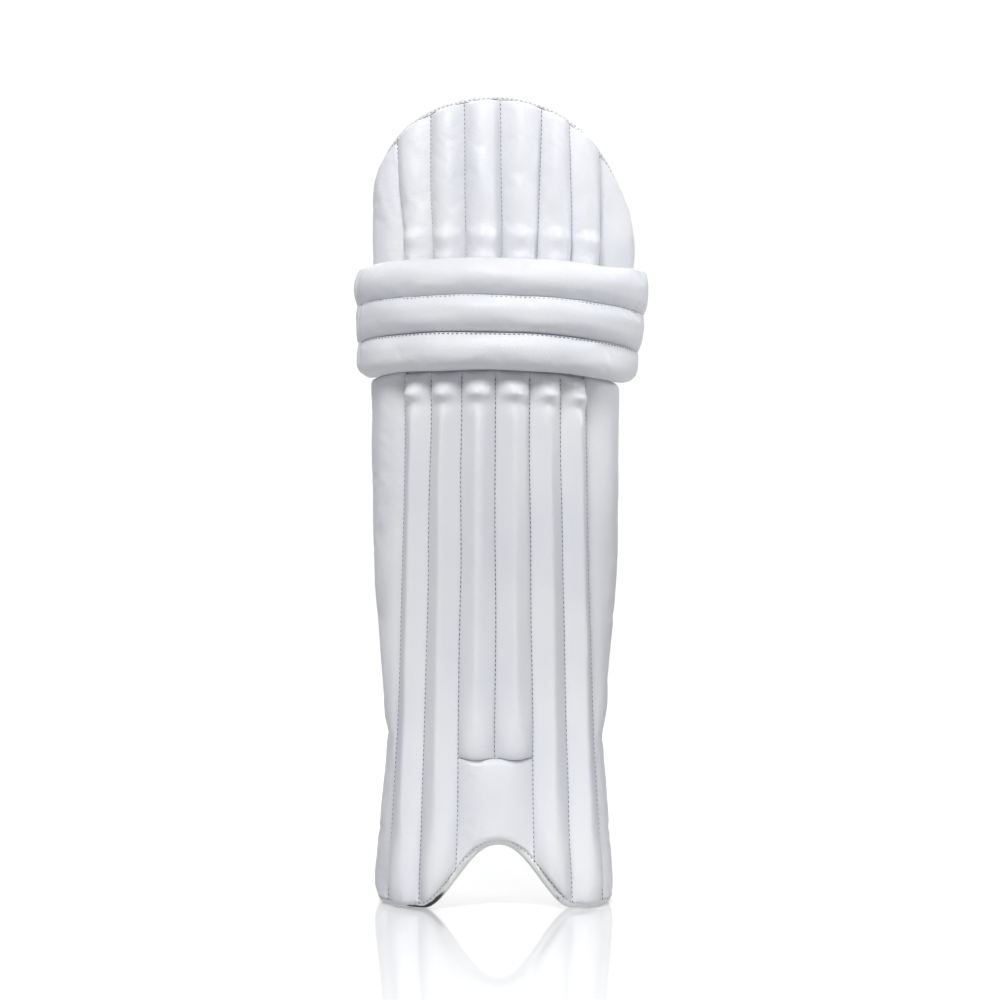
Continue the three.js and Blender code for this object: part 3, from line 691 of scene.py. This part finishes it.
def white_tape():
    """Coated tape: coarser and flatter than the cover, creased across, and near black where it is marked."""
    finish = surface("white_tape", {"Coat Weight": 0.05})
    grain = finish.cloud(520.0, 3.0)
    creases = finish.cloud(160.0, 2.0)
    band_mark = finish.node("ShaderNodeAttribute", {"attribute_name": "seam_shade_and_foot_band"}, {}, "Fac")
    # A near black band where the tape is marked, broken up by the creases.
    dark_band = finish.ramp(band_mark + 0.5 * (creases - 0.5), 0.45, 0.75)
    white = finish.mix(finish.ramp(creases, 0.35, 0.7), (0.71, 0.71, 0.70, 1), (0.77, 0.77, 0.765, 1))
    finish.feed(finish.shader, {
        "Base Color": finish.mix(dark_band, white, (0.02, 0.02, 0.025, 1)),
        "Roughness": 0.52 + 0.16 * grain,
        "Normal": finish.relief(grain, 0.0002, finish.relief(creases, 0.0006)),
    })
    return finish.owner


def thicken(piece, thickness):
    """Gives a band its thickness in mm, half to each side, and turns its faces outwards."""
    wall = piece.modifiers.new("wall", "SOLIDIFY")
    wall.thickness, wall.offset = thickness / 1000, 0
    bpy.ops.object.modifier_apply(modifier=wall.name)
    bpy.ops.object.mode_set(mode="EDIT")
    bpy.ops.mesh.select_all(action="SELECT")
    bpy.ops.mesh.normals_make_consistent(inside=False)
    bpy.ops.object.mode_set(mode="OBJECT")


WHITE_TAPE = white_tape()
RIM_STEPS = 220
rim_middle, rim_outward, rim_away = rim_loop(RIM_STEPS)
for side, node in enumerate(("foot_binding", "wing_binding_right", "hat_binding", "wing_binding_left")):
    piece, run, fold, _ = flat_grid(f"{node}_tape", RIM_STEPS, 18, 1)
    station = (np.round(run * RIM_STEPS).astype(int) + side * RIM_STEPS) % len(rim_middle)
    wrap = fold * TAPE["wrap"] - TAPE["wrap"] / 2
    angle = np.radians(np.clip(wrap, -90, 90))
    straight = np.clip(np.abs(wrap) - 90, 0, None) / (TAPE["wrap"] / 2 - 90)
    ripple = RIPPLE["depth"] * np.sin(RIPPLE["quick"] * station) * np.sin(RIPPLE["slow"] * station + 1)
    away = (TAPE["round_from"] + (TAPE["nose"] - TAPE["round_from"]) * np.cos(angle)
            - straight * (TAPE["lip"] + TAPE["round_from"] + ripple))
    out = TAPE["half"] * np.sin(angle)
    place = rim_middle[station] + (rim_away[station] * away[:, None]
                                   + rim_outward[station] * out[:, None]) / 1000
    x = place[:, 0]
    # Where along the foot its tape turns near black on the underside of its fold.
    band_places = (np.exp(-((x - FOOT_BAND["left"]) / FOOT_BAND["left_half"]) ** 4)
                + FOOT_BAND["right_share"] * np.exp(-((x - FOOT_BAND["right"]) / FOOT_BAND["right_half"]) ** 2))
    facing = np.cos(angle - np.radians(FOOT_BAND["turned"])) * FOOT_BAND["gain"] - FOOT_BAND["from"]
    band_share = band_places * (node == "foot_binding") * np.clip(facing, 0, 1)
    mark(piece, 1000 * run, 30 * fold, band_share)
    put(piece, place)
    thicken(piece, TAPE["thickness"])
    bpy.ops.object.shade_smooth_by_angle(angle=np.radians(50))
    piece.data.materials.append(WHITE_TAPE)
    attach(piece, "root")
    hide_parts(node)

# Straps
# Three bands of white webbing that hold the pad on the leg. Each is sewn inside the rear edge of one
# wing, goes round behind the leg and is sewn inside the other.
STRAP = {"width": 38, "thickness": 2.3, "overlap": 28, "reach": 58, "laps": (0, 0.12, 0.88, 1), "edge": 0.7}
STRAP_INSIDE = -PANEL_THICKNESS - 4.15  # its middle, clear of the quilted lining
STRAP_HEIGHTS = {"strap_ankle": 150, "strap_calf": 326, "strap_knee": 476}


def strap_point(run, height):
    """A place along a strap: 0 to 1 on the left wing, 1 to 2 behind the leg, 2 to 3 on the right."""
    def lap(edge, side, inset):
        return on_sheet(edge(height) - side * inset, height, STRAP_INSIDE)
    ends = []
    for edge, side in ((left_edge, -1), (right_edge, 1)):
        end, before = (lap(edge, side, inset + 0 * height) for inset in (0, STRAP["overlap"] / 2))
        ends.append((end, end + unit(end - before) * STRAP["reach"] / 1000))
    t = np.clip(run - 1, 0, 1)[:, None]
    behind = ((1 - t) ** 3 * ends[0][0] + 3 * (1 - t) ** 2 * t * ends[0][1]
              + 3 * (1 - t) * t * t * ends[1][1] + t**3 * ends[1][0])
    on_left = lap(left_edge, -1, STRAP["overlap"] * (1 - np.clip(run, 0, 1)))
    on_right = lap(right_edge, 1, STRAP["overlap"] * np.clip(run - 2, 0, 1))
    return np.where(run[:, None] < 1, on_left, np.where(run[:, None] > 2, on_right, behind))


def white_webbing():
    """Heavy woven tape: ribs across it and a thicker thread down each selvedge."""
    finish = surface("white_webbing", {"Roughness": 0.85, "Sheen Weight": 0.1})
    lie = finish.node("ShaderNodeUVMap", {}, {})
    length = finish.node("ShaderNodeSeparateXYZ", {}, {"Vector": lie})
    width = Wire(finish, length.socket.node.outputs["Y"])
    ribs = finish.node("ShaderNodeMath", {"operation": "SINE"}, {0: length * (2 * np.pi / 0.0022)})
    cords = finish.node("ShaderNodeMath", {"operation": "SINE"}, {0: width * (2 * np.pi / 0.0034)})
    weave = 0.5 + 0.5 * (ribs * cords)
    soiled = finish.ramp(finish.cloud(16.0, 3.0), 0.45, 0.75)
    thread = finish.mix(weave, (0.62, 0.62, 0.61, 1), (0.76, 0.76, 0.75, 1))
    finish.feed(finish.shader, {
        "Base Color": finish.mix(soiled * 0.35, thread, (0.60, 0.585, 0.56, 1)),
        "Normal": finish.relief(weave, 0.0005),
    })
    return finish.owner


WHITE_WEBBING = white_webbing()
for node, strap_height in STRAP_HEIGHTS.items():
    piece, run, width, _ = flat_grid(f"{node}_webbing", 150, 12, 1)
    run = np.interp(run, STRAP["laps"], (0, 1, 2, 3))
    height = strap_height + STRAP["width"] * (width - 0.5)
    put(piece, strap_point(run, height))
    mark(piece, 100 * run, STRAP["width"] * width, 0 * run)
    thicken(piece, STRAP["thickness"])
    edge = piece.modifiers.new("edge", "BEVEL")
    edge.width, edge.segments, edge.limit_method = STRAP["edge"] / 1000, 2, "ANGLE"
    bpy.ops.object.modifier_apply(modifier=edge.name)
    bpy.ops.object.shade_smooth_by_angle(angle=np.radians(40))
    piece.data.materials.append(WHITE_WEBBING)
    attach(piece, "root")
    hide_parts(node)

# Stitching
# Dark thread in a lockstitch of about four millimetres: down every seam of the rolls, along the knee
# rolls and across the top of the instep. Greyer thread goes along the top knee roll and the tape.
STITCH = {"pitch": 3.9, "length": 2.0, "width": 0.7, "height": 0.5}
SEAM_OUT, LINING_OUT, SCALLOP_OUT, LIP_OUT = 0.25, 0.1, 0.5, 0.55  # how far a stitch lies off its seam
SEAM_ENDS = {"foot": 2, "knee": 4, "hat": 98, "dome": 1}  # where the upright seams stop
KNEE_SEAM = {"left": 14, "right": 8, "down": 1.4, "over": 0.21, "out": 0.9}
LIP_INSET = 1.0


def waxed_thread(name, dark, faded_to):
    """Waxed polyester thread, dark with a blue cast and faded in places."""
    finish = surface(name, {})
    faded = finish.ramp(finish.cloud(70.0, 2.0), 0.35, 0.75)
    twist = finish.cloud(2500.0, 1.0)
    finish.feed(finish.shader, {
        "Base Color": finish.mix(faded, dark, faded_to),
        "Roughness": 0.55 + 0.2 * twist,
        "Normal": finish.relief(twist, 0.0001),
    })
    return finish.owner


def model_stitch():
    """One stitch: a small capsule, flattened and lying along X, in metres."""
    bpy.ops.object.select_all(action="DESELECT")
    bpy.ops.mesh.primitive_uv_sphere_add(segments=6, ring_count=4, radius=0.5, rotation=(0, np.pi / 2, 0))
    stitch = bpy.context.object
    bpy.ops.object.transform_apply(location=True, rotation=True, scale=True)
    shape = places(stitch) * np.array((STITCH["length"], STITCH["width"], STITCH["height"])) / 1000
    faces = [tuple(face.vertices) for face in stitch.data.polygons]
    bpy.data.objects.remove(stitch)
    return shape, faces


DARK_THREAD = waxed_thread("dark_thread", (0.03, 0.035, 0.055, 1), (0.15, 0.16, 0.21, 1))
GREY_THREAD = waxed_thread("grey_thread", (0.14, 0.145, 0.16, 1), (0.5, 0.5, 0.51, 1))
stitch_shape, stitch_faces = model_stitch()


def sew(name, seams, thread):
    """Sews a row of stitches along each seam, given as its points and the outward side of each."""
    points, faces = [], []
    for line, outward in seams:
        run = np.concatenate(([0], np.cumsum(np.linalg.norm(np.diff(line, axis=0), axis=1)))) * 1000
        marks = np.arange(STITCH["pitch"] / 2, run[-1], STITCH["pitch"])
        middle, ahead, behind, top = (
            np.stack([np.interp(marks + step, run, part[:, axis]) for axis in range(3)], axis=-1)
            for step, part in ((0, line), (1, line), (-1, line), (0, outward)))
        forward = unit(ahead - behind)
        side = unit(np.cross(top, forward))
        top = np.cross(forward, side)
        for centre, *axes in zip(middle, forward, side, top):
            first = len(points) * len(stitch_shape)
            points.append(centre + stitch_shape @ np.array(axes))
            faces.extend(tuple(first + corner for corner in face) for face in stitch_faces)
    mesh = bpy.data.meshes.new(name)
    mesh.from_pydata(np.concatenate(points).tolist(), [], faces)
    piece = bpy.data.objects.new(name, mesh)
    bpy.context.scene.collection.objects.link(piece)
    bpy.ops.object.select_all(action="DESELECT")
    piece.select_set(True)
    bpy.context.view_layer.objects.active = piece
    bpy.ops.object.shade_smooth()
    mesh.materials.append(thread)
    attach(piece, "root")


def upright_seam(third, low, high, inside=False):
    height = np.linspace(low, high, 200)
    along = roll_seam(third)(height)
    out, side = (lining_out(along, height)[0] - LINING_OUT, -1) if inside else (SEAM_TOP + SEAM_OUT, 1)
    return on_sheet(along, height, out), side * outward_at(along, height)


shin_seams, lining_seams, hat_seams = [], [], []
for third in range(-3, 4):
    foot_along = plan("face_half", FOOT) * third / 3
    knee_along = plan("face_half", KNEE["bottom"]) * third / 3
    low = INSTEP_TOP if third == 0 else float(padded_foot(np.array(foot_along))) - SEAM_ENDS["foot"]
    high = float(under_knee(np.array(knee_along))) - SEAM_ENDS["knee"]
    shin_seams.append(upright_seam(third, low, high))
    top = float(padded_dome(roll_seam(third)(np.array(HAT))))
    hat_seams.append(upright_seam(third, high + SEAM_ENDS["hat"], top - SEAM_ENDS["dome"]))
    lining_seams.append(upright_seam(third, low, top, inside=True))
cross = np.linspace(*(plan("face_half", INSTEP_TOP) / 3 * side for side in (-0.97, 0.97)), 80)
shin_seams.append((on_sheet(cross, scallop(cross) - 0.4, SEAM_TOP + SCALLOP_OUT),
                   outward_at(cross, scallop(cross))))
sew("stitches_shin", shin_seams, DARK_THREAD)
sew("stitches_hat", hat_seams, DARK_THREAD)
sew("stitches_lining", lining_seams, DARK_THREAD)

knee_run = np.linspace(KNEE_SEAM["left"] - KNEE["reach"], KNEE["reach"] - KNEE_SEAM["right"], 200)
for index, thread in ((1, DARK_THREAD), (2, GREY_THREAD)):
    seam = knee_seam(index, knee_run) - KNEE_SEAM["down"]
    valley = knee_valley(OVER[index - 1], knee_run)
    out = KNEE["seat"] + KNEE["thickness"] * (valley + KNEE_SEAM["over"] * (1 - valley)) + KNEE_SEAM["out"]
    sew(f"stitches_knee_{index}", [(on_sheet(knee_run, seam, out), outward_at(knee_run, seam))], thread)

rim_seams = []
for side in (1, -1):
    lip = rim_middle + (rim_away * (LIP_INSET - TAPE["lip"])
                        + side * rim_outward * (TAPE["half"] + LIP_OUT)) / 1000
    rim_seams.append((np.concatenate((lip, lip[:1])), side * np.concatenate((rim_outward, rim_outward[:1]))))
sew("stitches_rim", rim_seams, GREY_THREAD)

# Studio
# A pale glossy floor that throws no light back on the pad, and a grey sky, paler below and white behind.
# A soft lamp stands high in front, weak ones light the foot and the right of the hat, and one the floor
# behind. The camera is level, at half the height of the pad.
bpy.ops.object.select_all(action="DESELECT")
bpy.ops.mesh.primitive_plane_add(size=5)
floor = bpy.context.object
floor.name = "floor"
floor_finish = surface("pale_floor", {"Base Color": (0.97, 0.97, 0.97, 1), "Roughness": 0.06})
floor.data.materials.append(floor_finish.owner)
floor.visible_diffuse = floor.visible_shadow = False

bpy.context.scene.world = bpy.data.worlds.new("studio_sky")
sky = Finish(bpy.context.scene.world, "Background", {"Strength": 1.0})
toward = sky.node("ShaderNodeTexCoord", {}, {}, "Generated")
behind = sky.node("ShaderNodeSeparateXYZ", {}, {"Vector": toward}, "Y")
backdrop = sky.ramp(behind, 0.90, 0.96)
above = sky.ramp(Wire(sky, behind.socket.node.outputs["Z"]), -0.1, 0.1)
around = sky.mix(above, (0.55, 0.555, 0.57, 1), (0.33, 0.335, 0.35, 1))
sky.feed(sky.shader, {"Color": sky.mix(backdrop, around, (1.03, 1.03, 1.03, 1))})

for name, energy, size, spread, place, aim in (
        ("front_lamp", 34.5, 0.7, 180, (-0.22, -1.5, 1.9), (0, 0, 0.35)),
        ("foot_lamp", 0.2, 0.4, 20, (0.4, -1.4, 0.2), (0.05, 0, -0.06)),
        ("hat_lamp", 0.2, 0.4, 15, (1.5, -0.15, 1.0), (0.1, 0, 0.56)),
        ("floor_lamp", 75, 2.5, 180, (0, 1.9, 2.2), (0, 1.5, 0))):
    lamp = bpy.data.objects.new(name, bpy.data.lights.new(name, "AREA"))
    lamp.data.energy, lamp.data.size, lamp.data.spread = energy, size, np.radians(spread)
    lamp.location = place
    lamp.rotation_euler = (Vector(aim) - lamp.location).to_track_quat("-Z", "Y").to_euler()
    lamp.visible_glossy = spread == 180
    bpy.context.scene.collection.objects.link(lamp)

camera = bpy.data.objects.new("camera", bpy.data.cameras.new("camera"))
camera.data.lens, camera.data.sensor_width = 100.6, 36
camera.location = (0.0004, -2.345, 0.3358)
camera.rotation_euler = (np.pi / 2, 0, 0)
bpy.context.scene.collection.objects.link(camera)
bpy.context.scene.camera = camera
bpy.context.scene.view_settings.view_transform = "Standard"
